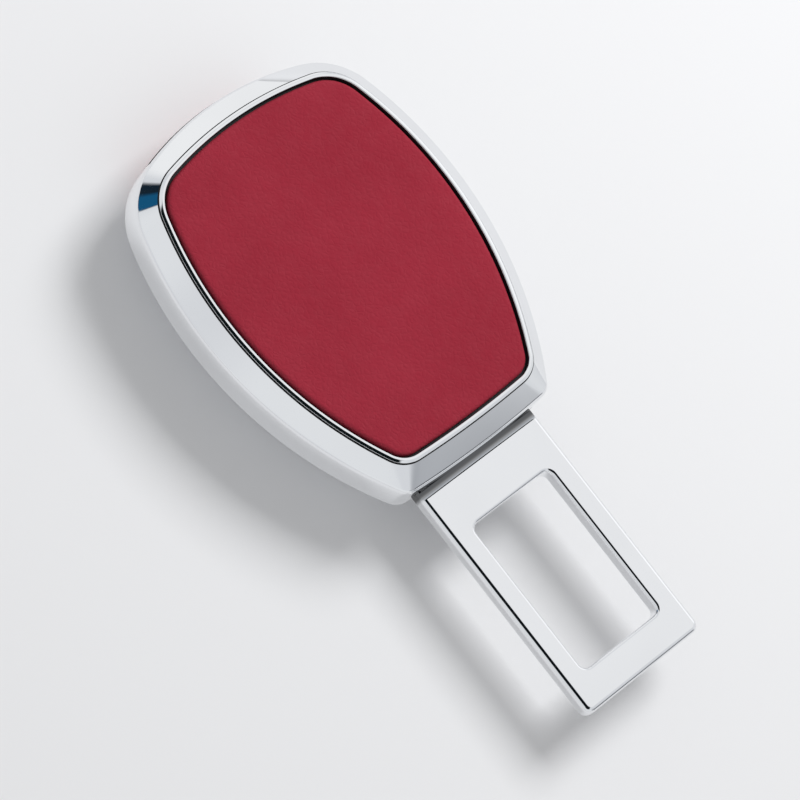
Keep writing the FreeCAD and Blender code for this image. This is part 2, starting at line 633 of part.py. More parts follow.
def release_button():
    """Push block in the head's far end with two ramped arms, each with a pocket for its spring."""
    (x0, z0), (x1, z1) = ramp_points()
    low_z = z1 - (z0 - z1) / (x0 - x1) * RAMP_RUN_OUT
    low_x = x1 - RAMP_RUN_OUT
    arm = side_profile([(BUTTON_BACK_X, low_z),
                        (low_x, low_z),
                        (x0, z0),
                        (ARM_END_X, z0),
                        (ARM_END_X, BUTTON_TOP_Z),
                        (BUTTON_BACK_X, BUTTON_TOP_Z)], ARM_INNER, ARM_OUTER)
    pocket_end = POST_X + POST_LENGTH + BUTTON_FIT
    arm = arm.cut(box(SPRING_POCKET_START_X, pocket_end, ARM_INNER + SPRING_POCKET_WALL,
                      ARM_OUTER - SPRING_POCKET_WALL, 0, BUTTON_TOP_Z - SPRING_POCKET_ROOF))
    block = centred_box(-HEAD_LENGTH, BUTTON_BACK_X, BUTTON_HALF_WIDTH,
                        BACK_DECK_Z + BUTTON_FIT, BUTTON_TOP_Z)
    block = block.common(back_body())
    return block.fuse(both_sides(arm)).removeSplitter()


def button_spring(side):
    start = SPRING_POCKET_START_X + SPRING_SEAT_GAP
    y = side * (ARM_INNER + ARM_OUTER) / 2
    length = POST_X - SPRING_SEAT_GAP - start
    return coil(*BUTTON_SPRING, length, (start, y, BUTTON_SPRING_Z), V(1, 0, 0))


# Parts list

def parts():
    shapes = {
        "front_shell": front_shell(),
        "back_shell": back_shell(),
        "front_leather": leather(0, HEAD_THICKNESS, FRONT_POCKET_Z),
        "back_leather": leather(-BACK_PANEL_INSET, 0, BACK_POCKET_Z),
        "front_panel_core": prism(panel_wire, -LEATHER_WRAP,
                                  FRONT_POCKET_Z, FRONT_POCKET_Z + CORE_THICKNESS),
        "back_panel_core": prism(panel_wire, -LEATHER_WRAP - BACK_PANEL_INSET,
                                 LEATHER_THICKNESS, BACK_POCKET_Z),
        "mouth_guide": mouth_guide(),
        "tongue_plate": tongue_plate(),
        "buckle_frame": buckle_frame(),
        "frame_rivet_left": rivet(RIVET_Y),
        "frame_rivet_right": rivet(-RIVET_Y),
        "latch": latch(),
        "latch_pin": latch_pin(),
        "latch_spring": latch_spring(),
        "ejector": ejector(),
        "ejector_spring": ejector_spring(),
        "release_button": release_button(),
        "button_spring_left": button_spring(1),
        "button_spring_right": button_spring(-1),
    }
    for number, (x, y) in enumerate(screw_places(), 1):
        shapes[f"housing_screw_{number}"] = housing_screw(x, y)
    return shapes


def main():
    os.makedirs("parts", exist_ok=True)
    for name, shape in parts().items():
        solids = shape.Solids
        print(name, "solids", len(solids), "valid", shape.isValid(), "volume %.2f" % shape.Volume)
        solid = solids[0] if len(solids) == 1 else shape
        solid.exportStep(f"parts/{name}.step")


main()
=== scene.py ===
"""Looks of a seat belt extender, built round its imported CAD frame.

Lengths are written in millimetres, as on a drawing, and become metres when a mesh is finished.
"""
import logging
import math
from dataclasses import dataclass
from enum import Enum
from functools import lru_cache
from typing import NamedTuple, Optional, Sequence

import bmesh
import bpy
from bmesh.types import BMEdge, BMesh, BMVert
from bpy.types import Material, Node, NodeSocket, NodeTree, Object
from mathutils import Matrix, Vector


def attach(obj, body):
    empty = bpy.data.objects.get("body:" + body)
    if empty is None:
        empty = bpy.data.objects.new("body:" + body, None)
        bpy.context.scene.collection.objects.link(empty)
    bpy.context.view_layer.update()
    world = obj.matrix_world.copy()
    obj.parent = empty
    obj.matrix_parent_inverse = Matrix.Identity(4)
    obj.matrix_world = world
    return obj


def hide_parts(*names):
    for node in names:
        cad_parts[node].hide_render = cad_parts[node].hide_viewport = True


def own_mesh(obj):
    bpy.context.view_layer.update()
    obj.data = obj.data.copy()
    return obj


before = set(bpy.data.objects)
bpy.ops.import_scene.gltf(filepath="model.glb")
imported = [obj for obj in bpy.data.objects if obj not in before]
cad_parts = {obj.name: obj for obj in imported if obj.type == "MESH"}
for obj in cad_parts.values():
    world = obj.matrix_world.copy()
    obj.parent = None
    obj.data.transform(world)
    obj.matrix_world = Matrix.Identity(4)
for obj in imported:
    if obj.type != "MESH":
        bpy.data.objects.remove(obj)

MM = 0.001
UP = (0.0, 0.0, 1.0)

# Distances at which points are merged, in metres for CAD meshes and in millimetres for new ones
CAD_WELD = 1e-6
WELD = 1e-5
TINY = 1e-6

# Finest steps of the large outlines, of rounded edges, of broken edges and of round holes
LONGEST_FACET = 1.2
WIDEST_TURN = math.radians(4.5)
ROUND_STEPS = 6
BREAK_STEPS = 2
HOLE_SIDES = 40

# Angles in degrees above which an edge of the CAD is broken, and above which one stays sharp
BROKEN = 30.0
PIECE_CREASE = 32.0
SHELL_CREASE = 25.0
SOFT_CREASE = 40.0
SKIN_CREASE = 50.0
COIL_CREASE = 60.0

Span = tuple[float, float]
Triple = tuple[float, float, float]
Colour = Triple

log = logging.getLogger("extender")


class Body(Enum):
    """Bodies of the frame that pieces ride on."""

    HEAD = "head"
    BUTTON = "button"
    LATCH = "latch"
    EJECTOR = "ejector"


class Axis(Enum):
    """Directions that a coil can stand along."""

    X = (1.0, 0.0, 0.0)
    Z = (0.0, 0.0, 1.0)


# Drawing outlines

class Pen:
    """Draws one closed chain of edges in a bmesh out of spun arcs and straight runs."""

    def __init__(self, bm: BMesh, start: Vector) -> None:
        """Puts the pen down.

        Args:
            bm: mesh to draw in.
            start: first point of the chain.
        """
        self.bm = bm
        self.first: BMVert = bmesh.ops.create_vert(bm, co=start)["vert"][0]
        self.last = self.first

    def arc(self, centre: Vector, angle: float, steps: int) -> None:
        """Spins the chain's end about an upright axis.

        Args:
            centre: point on the axis.
            angle: turn in radians, counter-clockwise seen from above.
            steps: number of edges that it makes.
        """
        made = bmesh.ops.spin(self.bm, geom=[self.last], cent=centre, axis=UP, angle=angle, steps=steps)
        self.last = next(item for item in made["geom_last"] if isinstance(item, BMVert))

    def line(self, move: Vector) -> None:
        """Runs straight on.

        Args:
            move: step from the chain's end to its new end.
        """
        made = bmesh.ops.extrude_vert_indiv(self.bm, verts=[self.last])
        self.last = made["verts"][0]
        bmesh.ops.translate(self.bm, verts=[self.last], vec=move)

    def close(self) -> list[BMVert]:
        """Joins the end to the start.

        Returns:
            The points of the closed chain, in the order in which they were drawn.
        """
        ring, edge = [self.first], self.first.link_edges[0]
        while edge.other_vert(ring[-1]) is not self.last:
            ring.append(edge.other_vert(ring[-1]))
            edge = next(other for other in ring[-1].link_edges if other is not edge)
        bmesh.ops.weld_verts(self.bm, targetmap={self.last: self.first})
        return ring


def heading(centre: Vector, point: Vector) -> float:
    """Direction from one point to another, seen from above."""
    return math.atan2(point.y - centre.y, point.x - centre.x)


class Arc(NamedTuple):
    """One arc of an outline: the heading at which it ends, its centre and its radius."""

    end: float
    centre: Vector
    radius: float


@dataclass(frozen=True)
class Barrel:
    """Outline of eight tangent arcs, widest towards its far end."""

    length: float
    width: float
    side_radius: float
    far_radius: float
    near_radius: float
    far_corner: float
    near_corner: float
    widest_x: float = -4.0

    @staticmethod
    def meeting(c1: Vector, r1: float, c2: Vector, r2: float) -> Vector:
        """Finds a corner's centre.

        Args:
            c1: centre of the first circle.
            r1: distance wanted from it.
            c2: centre of the second circle.
            r2: distance wanted from it.

        Returns:
            The upper of the two points that lie so.
        """
        gap = c2 - c1
        d = gap.length
        along = (d * d + r1 * r1 - r2 * r2) / (2 * d)
        side = math.copysign(math.sqrt(r1 * r1 - along * along), gap.x)
        unit = gap / d
        return c1 + unit * along + Vector((-unit.y, unit.x, 0)) * side

    def arcs(self) -> list[Arc]:
        """Finds the arcs of the upper half, from the near end round to the far end."""
        near = Vector((self.length / 2 - self.near_radius, 0, 0))
        far = Vector((self.far_radius - self.length / 2, 0, 0))
        side = Vector((self.widest_x, self.width / 2 - self.side_radius, 0))
        near_in, far_in = self.near_corner, self.far_corner
        near_turn = self.meeting(near, self.near_radius - near_in, side, self.side_radius - near_in)
        far_turn = self.meeting(far, self.far_radius - far_in, side, self.side_radius - far_in)
        return [
            Arc(heading(near, near_turn), near, self.near_radius),
            Arc(heading(side, near_turn), near_turn, near_in),
            Arc(heading(side, far_turn), side, self.side_radius),
            Arc(heading(far, far_turn), far_turn, far_in),
            Arc(math.pi, far, self.far_radius),
        ]

    def ring(self, bm: BMesh, grow: float, z: float) -> list[BMVert]:
        """Draws the outline, with a point wherever it faces one of the shared headings.

        Args:
            bm: mesh to draw in.
            grow: how far outside the plain outline, or inside it where negative.
            z: level.

        Returns:
            The points of the ring in order.
        """
        arcs = self.arcs()

        def facing(way: float) -> Vector:
            """Finds the point whose outward direction is the heading."""
            arc = next(arc for arc in arcs if abs(way) < arc.end + TINY)
            reach = arc.radius + grow
            across = math.copysign(arc.centre.y + reach * math.sin(abs(way)), way)
            return Vector((arc.centre.x + reach * math.cos(way), across, z))

        stops = [facing(way) for way in headings()]
        pen = Pen(bm, stops[0])
        for here, there in zip(stops, stops[1:] + stops[:1]):
            pen.line(there - here)
        return pen.close()


HEAD = Barrel(length=66.8, width=52.9, side_radius=65.5, far_radius=50.0, near_radius=205.0,
              far_corner=12.0, near_corner=3.0)
PANEL = Barrel(length=56.9, width=43.8, side_radius=62.5, far_radius=63.0, near_radius=187.0,
               far_corner=6.9, near_corner=3.9)


@lru_cache(maxsize=None)
def headings() -> tuple[float, ...]:
    """Shares out the points of the head's and the panel's outlines.

    Returns:
        Headings round the whole outline, with every end of an arc among them.
    """
    outlines = (HEAD.arcs(), PANEL.arcs())
    half, start = [0.0], 0.0
    for end in sorted({arc.end for arcs in outlines for arc in arcs}):
        turn = end - start
        middle = start + turn / 2
        radius = max(next(arc.radius for arc in arcs if middle < arc.end) for arcs in outlines)
        steps = max(math.ceil(turn / WIDEST_TURN), math.ceil(turn * radius / LONGEST_FACET))
        half += [start + turn * step / steps for step in range(1, steps + 1)]
        start = end
    return tuple(half + [-way for way in reversed(half[1:-1])])


@dataclass(frozen=True)
class Slab:
    """Rectangle with round corners, flat in X and Y."""

    x0: float
    x1: float
    half_width: float
    corner: float
    steps: int = 10

    def ring(self, bm: BMesh, grow: float, z: float) -> list[BMVert]:
        """Draws the outline.

        Args:
            bm: mesh to draw in.
            grow: how far outside the plain outline.
            z: level.

        Returns:
            The points of the ring in order.
        """
        radius = self.corner + grow
        half = self.half_width + grow
        run_y = 2 * (half - radius)
        run_x = self.x1 - self.x0 - 2 * self.corner
        pen = Pen(bm, Vector((self.x1 + grow, radius - half, z)))
        corner = Vector((self.x1 - self.corner, radius - half, z))
        for move in ((0, run_y, 0), (-run_x, 0, 0), (0, -run_y, 0), (run_x, 0, 0)):
            corner += Vector(move)
            pen.line(Vector(move))
            pen.arc(corner, math.pi / 2, self.steps)
        return pen.close()


# Turning outlines into pieces

def edges_of(ring: list[BMVert]) -> list[BMEdge]:
    """Finds the edges between the points of a closed ring."""
    following = ring[1:] + ring[:1]
    return [edge for a, b in zip(ring, following) for edge in a.link_edges if edge.other_vert(a) is b]


def bevel(bm: BMesh, edges: list[BMEdge], width: float, segments: int) -> None:
    """Rounds edges of a mesh.

    Args:
        bm: the mesh.
        edges: edges to round.
        width: how far the rounding reaches down each side.
        segments: faces across it.
    """
    bmesh.ops.bevel(bm, geom=edges, offset=width, offset_type="OFFSET", segments=segments, profile=0.5,
                    affect="EDGES", material=-1, clamp_overlap=True)


class Skin:
    """Closed skin made by spanning from one ring to the next, point to point."""

    def __init__(self) -> None:
        """Starts an empty skin."""
        self.bm: BMesh = bmesh.new()
        self.rings: list[list[BMVert]] = []

    def add(self, outline: Barrel | Slab, grow: float, z: float, joined: bool = True,
            scale: float = 1.0) -> int:
        """Adds a ring, and spans to it from the one before.

        Args:
            outline: outline to draw.
            grow: how far outside it.
            z: level.
            joined: False for the first ring of a separate stretch.
            scale: size of the ring about the middle of the object.

        Returns:
            The ring's number.
        """
        ring = outline.ring(self.bm, grow, z)
        if scale != 1.0:
            bmesh.ops.scale(self.bm, vec=(scale, scale, 1.0), verts=ring)
        self.rings.append(ring)
        if joined and len(self.rings) > 1:
            self.span(-2, -1)
        return len(self.rings) - 1

    def span(self, one: int, other: int) -> None:
        """Makes the faces between two rings that already stand."""
        start, end = self.rings[one], self.rings[other]
        made = bmesh.ops.extrude_edge_only(self.bm, edges=edges_of(start))["geom"]
        fresh = {item for item in made if isinstance(item, BMVert)}
        twins = [next(e.other_vert(point) for e in point.link_edges if e.other_vert(point) in fresh)
                 for point in start]
        bmesh.ops.weld_verts(self.bm, targetmap=dict(zip(twins, end)))

    def cap(self, number: int) -> None:
        """Closes a ring with a face."""
        bmesh.ops.edgeloop_fill(self.bm, edges=edges_of(self.rings[number]))

    def round_off(self, number: int, width: float, segments: int) -> None:
        """Rounds the edges of a ring.

        Args:
            number: the ring.
            width: how far the rounding reaches down each side.
            segments: faces across it.
        """
        bevel(self.bm, edges_of(self.rings[number]), width, segments)


def finish(bm: BMesh, name: str, crease: float = PIECE_CREASE) -> Object:
    """Turns a bmesh drawn in millimetres into an object in metres.

    Args:
        bm: the mesh, which is used up.
        name: name of the piece.
        crease: angle in degrees above which an edge stays sharp.

    Returns:
        The new object.
    """
    bmesh.ops.remove_doubles(bm, verts=bm.verts, dist=WELD)
    bmesh.ops.recalc_face_normals(bm, faces=bm.faces)
    bmesh.ops.scale(bm, vec=(MM, MM, MM), verts=bm.verts)
    mesh = bpy.data.meshes.new(name)
    bm.to_mesh(mesh)
    bm.free()
    piece = bpy.data.objects.new(name, mesh)
    bpy.context.scene.collection.objects.link(piece)
    shade(piece, crease)
    return piece


def shade(piece: Object, crease: float) -> None:
    """Shades a piece smooth, apart from its edges sharper than crease degrees."""
    piece.data.polygons.foreach_set("use_smooth", [True] * len(piece.data.polygons))
    piece.data.set_sharp_from_angle(angle=math.radians(crease))


def baked(piece: Object) -> None:
    """Applies every modifier of a piece to its mesh."""
    graph = bpy.context.evaluated_depsgraph_get()
    mesh = bpy.data.meshes.new_from_object(piece.evaluated_get(graph), preserve_all_data_layers=True,
                                           depsgraph=graph)
    piece.modifiers.clear()
    piece.data = mesh
    mesh.name = piece.name


def combine(piece: Object, tool: Object, operation: str) -> None:
    """Cuts a tool away from a piece, or joins it on.

    Args:
        piece: object that stays.
        tool: object that is used up.
        operation: DIFFERENCE or UNION.
    """
    modifier = piece.modifiers.new("combine", "BOOLEAN")
    modifier.operation = operation
    modifier.solver = "EXACT"
    modifier.object = tool
    baked(piece)
    bpy.data.objects.remove(tool)


def unite(piece: Object, *tools: Object) -> None:
    """Joins tools to a piece, which uses them up."""
    for tool in tools:
        combine(piece, tool, "UNION")


def cut(piece: Object, *tools: Object) -> None:
    """Cuts tools away from a piece, which uses them up."""
    for tool in tools:
        combine(piece, tool, "DIFFERENCE")


def even_normals(piece: Object, crease: float = SHELL_CREASE) -> None:
    """Leans the shading of rounded edges on the large faces beside them."""
    shade(piece, crease)
    modifier = piece.modifiers.new("even", "WEIGHTED_NORMAL")
    modifier.mode = "FACE_AREA"
    modifier.weight = 100
    modifier.keep_sharp = True
    baked(piece)


def upright_circle(radius: float, sides: int) -> BMesh:
    """Draws a circle about the origin, square to Y, in a new bmesh."""
    bm = bmesh.new()
    bmesh.ops.create_circle(bm, cap_ends=False, segments=sides, radius=radius)
    bmesh.ops.rotate(bm, verts=bm.verts, cent=(0, 0, 0), matrix=Matrix.Rotation(math.pi / 2, 3, "X"))
    return bm


def sweep(bm: BMesh, axis: Sequence[float], runs: Sequence[tuple[float, float, int]]) -> None:
    """Spins a drawn section about an upright axis into a closed tube.

    Args:
        bm: mesh that holds the section alone.
        axis: point on the axis.
        runs: for each run in turn its angle in radians, its rise and its number of steps.
    """
    first = list(bm.edges)
    geometry = list(bm.verts) + first
    for angle, rise, steps in runs:
        made = bmesh.ops.spin(bm, geom=geometry, cent=axis, axis=UP, dvec=(0, 0, rise / steps), angle=angle,
                              steps=steps, use_merge=False)
        geometry = made["geom_last"]
    bmesh.ops.edgeloop_fill(bm, edges=first)
    bmesh.ops.edgeloop_fill(bm, edges=[item for item in geometry if isinstance(item, BMEdge)])


def block(x: Span, half_y: float, z: Span, round_x: float = 0.0, middle_y: float = 0.0) -> Object:
    """Makes a box.

    Args:
        x: its two ends.
        half_y: half its width.
        z: its two levels.
        round_x: radius of its four edges along X.
        middle_y: place of its middle across the object.

    Returns:
        The box as an object.
    """
    bm = bmesh.new()
    bmesh.ops.create_cube(bm, size=1)
    bmesh.ops.scale(bm, vec=(x[1] - x[0], 2 * half_y, z[1] - z[0]), verts=bm.verts)
    bmesh.ops.translate(bm, vec=((x[0] + x[1]) / 2, middle_y, (z[0] + z[1]) / 2), verts=bm.verts)
    if round_x:
        along = [e for e in bm.edges if abs(e.verts[0].co.x - e.verts[1].co.x) > TINY]
        bevel(bm, along, round_x, ROUND_STEPS)
    return finish(bm, "tool")


def post(x: float, y: float, radius: float, z: Span) -> Object:
    """Makes an upright round post.

    Args:
        x: place of its axis.
        y: place of its axis.
        radius: its radius.
        z: its two levels.

    Returns:
        The post as an object.
    """
    bm = bmesh.new()
    bmesh.ops.create_cone(bm, cap_ends=True, segments=HOLE_SIDES, radius1=radius, radius2=radius,
                          depth=z[1] - z[0], matrix=Matrix.Translation((x, y, (z[0] + z[1]) / 2)))
    return finish(bm, "tool")


def softened(node: str, name: str, width: float) -> Object:
    """Copies a CAD node and breaks its sharp edges.

    Args:
        node: name of the CAD node.
        name: name of the new piece.
        width: width of the rounding, in millimetres.

    Returns:
        The new object.
    """
    bm = bmesh.new()
    bm.from_mesh(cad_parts[node].data)
    bmesh.ops.remove_doubles(bm, verts=bm.verts, dist=CAD_WELD)
    bmesh.ops.dissolve_limit(bm, angle_limit=math.radians(1.0), verts=bm.verts, edges=bm.edges)
    bmesh.ops.scale(bm, vec=(1 / MM,) * 3, verts=bm.verts)
    closed = (edge for edge in bm.edges if len(edge.link_faces) == 2)
    sharp = [edge for edge in closed if edge.calc_face_angle() > math.radians(BROKEN)]
    bevel(bm, sharp, width, BREAK_STEPS)
    piece = finish(bm, name, SOFT_CREASE)
    even_normals(piece, SOFT_CREASE)
    return piece


# Finishes

class Tree:
    """Node tree that is built up node by node."""

    def __init__(self, tree: NodeTree) -> None:
        """Empties the tree.

        Args:
            tree: the tree to build in.
        """
        self.tree = tree
        self.tree.nodes.clear()

    def add(self, kind: str, **settings: object) -> Node:
        """Adds a node.

        Args:
            kind: Blender's name for it.
            settings: properties, or values of inputs with the input's name in lower case.

        Returns:
            The node.
        """
        node = self.tree.nodes.new(kind)
        inputs = {socket.name.lower().replace(" ", "_"): socket for socket in node.inputs}
        for key, value in settings.items():
            if key in inputs:
                inputs[key].default_value = value
            else:
                setattr(node, key, value)
        return node

    def wire(self, start: NodeSocket, end: NodeSocket) -> None:
        """Links two sockets."""
        self.tree.links.new(start, end)

    def noise(self, where: NodeSocket, scale: float, detail: float = 3.0,
              roughness: float = 0.5) -> NodeSocket:
        """Adds a noise pattern.

        Args:
            where: coordinates that it reads.
            scale: features to the unit of those coordinates.
            detail: octaves.
            roughness: weight of the finer octaves.

        Returns:
            The socket with values from 0 to 1.
        """
        node = self.add("ShaderNodeTexNoise", scale=scale, detail=detail, roughness=roughness)
        self.wire(where, node.inputs["Vector"])
        return node.outputs["Fac"]

    def spread(self, value: NodeSocket, low: float = 0.0, high: float = 1.0, start: float = 0.0,
               end: float = 1.0) -> NodeSocket:
        """Maps a value from one range to another.

        Args:
            value: socket to map.
            low: result at start.
            high: result at end.
            start: low end of the value.
            end: high end of the value.

        Returns:
            The mapped socket.
        """
        node = self.add("ShaderNodeMapRange", interpolation_type="SMOOTHSTEP")
        for name, number in (("From Min", start), ("From Max", end), ("To Min", low), ("To Max", high)):
            node.inputs[name].default_value = number
        self.wire(value, node.inputs["Value"])
        return node.outputs["Result"]

    def mixed(self, factor: NodeSocket, low: Colour | NodeSocket, high: Colour | NodeSocket) -> NodeSocket:
        """Mixes two colours.

        Args:
            factor: socket that mixes them.
            low: colour at 0, or a socket that gives it.
            high: colour at 1, or a socket that gives it.

        Returns:
            The socket with the mixed colour.
        """
        node = self.add("ShaderNodeMix", data_type="RGBA")
        sockets = [socket for socket in node.inputs if socket.type == "RGBA"]
        for socket, colour in zip(sockets, (low, high)):
            if isinstance(colour, NodeSocket):
                self.wire(colour, socket)
            else:
                socket.default_value = (*colour, 1.0)
        self.wire(factor, node.inputs["Factor"])
        return next(socket for socket in node.outputs if socket.type == "RGBA")


class Graph(Tree):
    """Node tree of one material."""

    def __init__(self, name: str) -> None:
        """Makes a material that holds a Principled shader.

        Args:
            name: name of the material.
        """
        self.material = bpy.data.materials.new(name)
        self.material.use_nodes = True
        super().__init__(self.material.node_tree)
        self.shader = self.add("ShaderNodeBsdfPrincipled")
        self.output = self.add("ShaderNodeOutputMaterial")
        self.wire(self.shader.outputs["BSDF"], self.output.inputs["Surface"])

    def millimetres(self, stretch: Triple = (1.0, 1.0, 1.0)) -> NodeSocket:
        """Gives the piece's own coordinates in millimetres.

        Args:
            stretch: factor along each axis.

        Returns:
            The socket that carries them.
        """
        own = self.add("ShaderNodeTexCoord")
        mapping = self.add("ShaderNodeMapping", scale=[value / MM for value in stretch])
        self.wire(own.outputs["Object"], mapping.inputs["Vector"])
        return mapping.outputs["Vector"]

    def blend(self, factor: NodeSocket, low: Colour, high: Colour) -> NodeSocket:
        """Mixes two colours into the shader's base colour.

        Args:
            factor: socket that mixes them.
            low: colour at 0.
            high: colour at 1.

        Returns:
            The socket with the mixed colour.
        """
        colour = self.mixed(factor, low, high)
        self.wire(colour, self.shader.inputs["Base Color"])
        return colour

    def bump(self, height: NodeSocket, depth: float, strength: float = 1.0,
             under: Optional[Node] = None) -> Node:
        """Raises the surface by a pattern.

        Args:
            height: socket with the pattern.
            depth: its depth in millimetres.
            strength: share of it that shows.
            under: bump node that this one adds to.

        Returns:
            The bump node, which also feeds the shader.
        """
        node = self.add("ShaderNodeBump", strength=strength, distance=depth * MM)
        self.wire(height, node.inputs["Height"])
        if under:
            self.wire(under.outputs["Normal"], node.inputs["Normal"])
        self.wire(node.outputs["Normal"], self.shader.inputs["Normal"])
        return node

    def roughen(self, value: NodeSocket) -> None:
        """Feeds the shader's roughness from a socket."""
        self.wire(value, self.shader.inputs["Roughness"])

    def put(self, **values: object) -> None:
        """Sets inputs of the shader that are the same all over."""
        for key, value in values.items():
            name = key.replace("_", " ")
            self.shader.inputs[name].default_value = value


def tinted(colour: Colour, share: float, step: float = 0.0) -> Colour:
    """Makes a colour darker or paler: a share of itself, with a step on top."""
    return tuple(min(1.0, value * share + step) for value in colour)


@dataclass(frozen=True)
class ChromeFinish:
    """Bright plating with a faint swirl in its polish, and, where an X span is given, painted shade that
    darkens its colour at lower X and fades out across that span.

    Darker and the painted shade's share are the shares of its colour that its clouds and the painted shade
    keep.
    """

    name: str
    colour: Colour = (0.86, 0.87, 0.885)
    smooth: float = 0.028
    hazy: float = 0.06
    darker: float = 0.965
    painted_shade_x: Optional[Span] = None
    painted_shade_share: float = 0.16

    def make(self) -> Material:
        """Builds the material."""
        graph = Graph(self.name)
        where = graph.millimetres()
        haze = graph.noise(where, scale=0.11, detail=4.0)
        graph.roughen(graph.spread(haze, self.smooth, self.hazy, start=0.35, end=0.7))
        drift = graph.spread(graph.noise(where, scale=0.05, detail=2.0), start=0.3, end=0.7)
        polished = graph.blend(drift, tinted(self.colour, self.darker), self.colour)
        # Painted shade: the base colour darkens towards the head, where the head shades the tongue, and
        # fades out across the given X span.
        if self.painted_shade_x:
            along = graph.add("ShaderNodeSeparateXYZ")
            graph.wire(where, along.inputs["Vector"])
            clear = graph.spread(along.outputs["X"], start=self.painted_shade_x[0], end=self.painted_shade_x[1])
            shaded = graph.mixed(clear, tinted(self.colour, self.painted_shade_share), polished)
            graph.wire(shaded, graph.shader.inputs["Base Color"])
        graph.bump(graph.noise(where, scale=0.22, detail=1.0), depth=0.004, strength=0.35)
        graph.put(Metallic=1.0)
        return graph.material


@dataclass(frozen=True)
class LeatherFinish:
    """Dyed leather with a fine pressed grain.

    Its cells are counted to the millimetre, and a furrow between them is a share of a cell. The stray of the
    cells and all depths are in millimetres.
    """

    name: str
    deep: Colour = (0.292, 0.0135, 0.031)
    light: Colour = (0.318, 0.0165, 0.036)
    cell: float = 1.15
    furrow: float = 0.28
    stray: float = 0.9
    grain_depth: float = 0.09
    wrinkle_depth: float = 0.14
    pore_depth: float = 0.03
    roughness: Span = (0.50, 0.66)

    def strayed(self, graph: Graph, where: NodeSocket) -> NodeSocket:
        """Shifts coordinates by a slow noise.

        Args:
            graph: node tree of the material.
            where: coordinates in millimetres.

        Returns:
            The shifted coordinates.
        """
        drift = graph.add("ShaderNodeTexNoise", scale=0.9, detail=3.0)
        graph.wire(where, drift.inputs["Vector"])
        shift = graph.add("ShaderNodeVectorMath", operation="SCALE")
        shift.inputs["Scale"].default_value = self.stray
        graph.wire(drift.outputs["Color"], shift.inputs[0])
        moved = graph.add("ShaderNodeVectorMath", operation="ADD")
        graph.wire(where, moved.inputs[0])
        graph.wire(shift.outputs["Vector"], moved.inputs[1])
        return moved.outputs["Vector"]

    def make(self) -> Material:
        """Builds the material."""
        graph = Graph(self.name)
        where = graph.millimetres()
        moved = self.strayed(graph, where)
        cells = graph.add("ShaderNodeTexVoronoi", feature="DISTANCE_TO_EDGE", scale=self.cell)
        graph.wire(moved, cells.inputs["Vector"])
        pebbles = graph.spread(cells.outputs["Distance"], end=self.furrow)
        pores = graph.noise(where, scale=5.5, roughness=0.6)
        clouds = graph.noise(where, scale=0.055, roughness=0.55)
        wrinkles = graph.noise(moved, scale=0.55, detail=4.0, roughness=0.6)
        graph.blend(graph.spread(clouds, start=0.32, end=0.68), self.deep, self.light)
        graph.roughen(graph.spread(wrinkles, *self.roughness, start=0.3, end=0.7))
        first = graph.bump(pebbles, self.grain_depth, strength=0.4)
        second = graph.bump(wrinkles, self.wrinkle_depth, strength=0.4, under=first)
        graph.bump(pores, self.pore_depth, strength=0.6, under=second)
        graph.put(Specular_IOR_Level=0.33, Sheen_Weight=0.04, Sheen_Roughness=0.45)
        return graph.material


@dataclass(frozen=True)
class PlasticFinish:
    """Moulded plastic with a fine spark-eroded texture."""

    name: str
    colour: Colour
    roughness: float = 0.5
    texture: float = 0.006

    def make(self) -> Material:
        """Builds the material."""
        graph = Graph(self.name)
        where = graph.millimetres()
        grain = graph.noise(where, scale=6.0, detail=2.0)
        paler = tinted(self.colour, share=1.12, step=0.004)
        graph.blend(graph.noise(where, scale=0.3), self.colour, paler)
        graph.roughen(graph.spread(grain, self.roughness - 0.06, self.roughness + 0.08))
        graph.bump(grain, self.texture, strength=0.5)
        return graph.material


@dataclass(frozen=True)
class SteelFinish:
    """Plated steel with rolling lines, set by the stretch of its noise along X, Y and Z."""

    name: str
    colour: Colour = (0.58, 0.585, 0.6)
    roughness: float = 0.3
    lines: Triple = (0.12, 6.0, 6.0)
    darker: float = 0.82

    def make(self) -> Material:
        """Builds the material."""
        graph = Graph(self.name)
        streaks = graph.noise(graph.millimetres(self.lines), scale=1.0, detail=2.0)
        clouds = graph.spread(graph.noise(graph.millimetres(), scale=0.25), start=0.3, end=0.7)
        graph.blend(clouds, tinted(self.colour, self.darker), self.colour)
        graph.roughen(graph.spread(streaks, self.roughness - 0.08, self.roughness + 0.1))
        graph.bump(streaks, depth=0.004, strength=0.4)
        graph.put(Metallic=1.0)
        return graph.material


class Finishes:
    """Every material of the object, made once."""

    def __init__(self) -> None:
        """Builds the materials."""
        self.shell = ChromeFinish("shell_chrome").make()
        # The tongue's colour carries painted shade at the head's end, fading out from x 33.75 to 34.75 mm.
        self.tongue = ChromeFinish("tongue_chrome", (0.84, 0.85, 0.865), 0.035, 0.07,
                                   painted_shade_x=(33.75, 34.75)).make()
        self.leather = LeatherFinish("red_leather").make()
        # Black moulding of the mouth guide; the same black also paints shade into the front shell's pocket
        # and channel.
        self.black = PlasticFinish("black_moulding", (0.018, 0.018, 0.02), 0.45).make()
        self.core = PlasticFinish("core_board", (0.10, 0.10, 0.11), 0.7).make()
        self.ivory = PlasticFinish("slider_acetal", (0.72, 0.70, 0.64), 0.42).make()
        self.button = PlasticFinish("button_red", (0.45, 0.018, 0.024), 0.3, 0.004).make()
        self.frame = SteelFinish("frame_steel").make()
        self.pin = SteelFinish("pin_steel", (0.64, 0.64, 0.655), 0.22, (6.0, 0.12, 6.0)).make()
        self.wire = SteelFinish("spring_steel", (0.5, 0.505, 0.52), 0.26, (4.0, 4.0, 4.0)).make()
        self.screw = SteelFinish("screw_steel", (0.42, 0.425, 0.44), 0.34, (5.0, 5.0, 0.4)).make()


